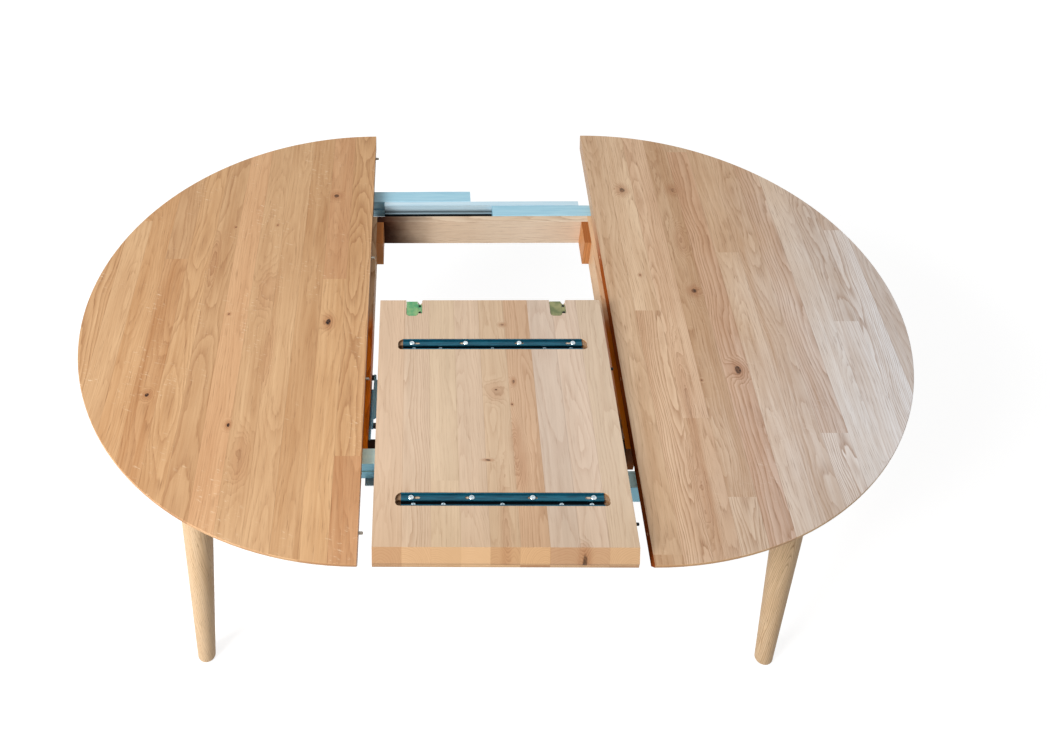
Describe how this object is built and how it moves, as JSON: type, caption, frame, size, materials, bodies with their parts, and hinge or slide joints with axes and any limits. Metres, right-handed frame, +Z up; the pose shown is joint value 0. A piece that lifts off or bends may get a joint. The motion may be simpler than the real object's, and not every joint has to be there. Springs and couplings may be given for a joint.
{
  "type": "draw leaf table",
  "caption": "Round oak dining table drawn open on metal runners, with a hinged folding leaf on swing arms in its gap and splayed tapered legs.",
  "frame": {"origin": "on the floor, under the centre of the table", "axes": "+X along the draw towards the right half, +Y from the near side, where the folded leaf lies, to the far side, +Z up"},
  "size_m": [1.7079, 1.2, 0.7797],
  "materials": {
    "oak_top_left": "oiled",
    "oak_top_right": "oiled",
    "oak_leaf": "bare, lightly oiled",
    "oak_leg": "oiled",
    "oak_frame": "oiled",
    "runner_metal": "satin",
    "bright_steel": "bright zinc",
    "black_steel": "black oxide",
    "dark_steel": "dark satin",
    "arm_steel": "blued zinc",
    "yellow_zinc": "yellow chromate",
    "glide_plastic": "plain"
  },
  "bodies": {
    "centre_frame": {"apron_front": "oak_frame", "apron_back": "oak_frame", "cross_rail_left": "oak_frame", "cross_rail_right": "oak_frame", "corner_blocks": "oak_frame", "frame_screws": "bright_steel", "runner_middle_front": "runner_metal", "runner_middle_back": "runner_metal", "runner_middle_screws": "bright_steel", "frame_pivot_studs": "black_steel", "frame_pivot_collars": "glide_plastic"},
    "left_half": {"top_left": "oak_top_left", "leg_front_left": "oak_leg", "leg_back_left": "oak_leg", "leg_plate_front_left": "bright_steel", "leg_plate_back_left": "bright_steel", "leg_bolts_left": "bright_steel", "leg_plate_screws_left": "bright_steel", "foot_glides_left": "glide_plastic", "runner_outer_back": "runner_metal", "runner_inner_front": "runner_metal", "runner_screws_left": "bright_steel", "top_channels_left": "dark_steel", "top_channel_screws_left": "bright_steel", "top_pins_left": "black_steel"},
    "right_half": {"top_right": "oak_top_right", "leg_front_right": "oak_leg", "leg_back_right": "oak_leg", "leg_plate_front_right": "bright_steel", "leg_plate_back_right": "bright_steel", "leg_bolts_right": "bright_steel", "leg_plate_screws_right": "bright_steel", "foot_glides_right": "glide_plastic", "runner_outer_front": "runner_metal", "runner_inner_back": "runner_metal", "runner_screws_right": "bright_steel", "top_channels_right": "dark_steel", "top_channel_screws_right": "bright_steel"},
    "front_arms": {"swing_arm_front_left": "arm_steel", "swing_arm_front_right": "arm_steel"},
    "rear_arms": {"swing_arm_rear_left": "arm_steel", "swing_arm_rear_right": "arm_steel"},
    "leaf_near_layer": {"leaf_lower": "oak_leaf", "leaf_bracket_left": "arm_steel", "leaf_bracket_right": "arm_steel", "leaf_pivot_studs": "black_steel", "leaf_pivot_collars": "glide_plastic", "leaf_bracket_screws": "bright_steel", "leaf_channels_lower": "dark_steel", "leaf_channel_screws_lower": "bright_steel", "leaf_pins_lower": "black_steel", "leaf_hinge_cups_lower": "yellow_zinc", "leaf_hinge_screws_lower": "black_steel"},
    "leaf_far_layer": {"leaf_upper": "oak_leaf", "leaf_channels_upper": "dark_steel", "leaf_channel_screws_upper": "bright_steel", "leaf_pins_upper": "black_steel", "leaf_hinge_cups_upper": "yellow_zinc", "leaf_hinge_screws_upper": "black_steel"}
  },
  "joints": [
    {"name": "draw_left", "type": "slide", "parent": "centre_frame", "child": "left_half", "axis": [1, 0, 0], "range_m": [0, 0.026]},
    {"name": "draw_right", "type": "slide", "parent": "centre_frame", "child": "right_half", "axis": [-1, 0, 0], "range_m": [0, 0.026]},
    {"name": "leaf_swing", "type": "hinge", "parent": "centre_frame", "child": "front_arms", "pos_m": [0, -0.15, 0.661], "axis": [-1, 0, 0], "range_deg": [0, 148]},
    {"name": "rear_arm_turn", "type": "hinge", "parent": "centre_frame", "child": "rear_arms", "pos_m": [0, -0.11, 0.661], "axis": [-1, 0, 0], "range_deg": [0, 148]},
    {"name": "leaf_level", "type": "hinge", "parent": "front_arms", "child": "leaf_near_layer", "pos_m": [0, -0.3, 0.6935], "axis": [-1, 0, 0], "range_deg": [-148, 0]},
    {"name": "leaf_unfold", "type": "hinge", "parent": "leaf_near_layer", "child": "leaf_far_layer", "pos_m": [0, 0, 0.75], "axis": [-1, 0, 0], "range_deg": [0, 180]}
  ],
  "couplings": [
    {"joint": "rear_arm_turn", "follows": "leaf_swing", "ratio": 1},
    {"joint": "leaf_level", "follows": "leaf_swing", "ratio": -1}
  ]
}
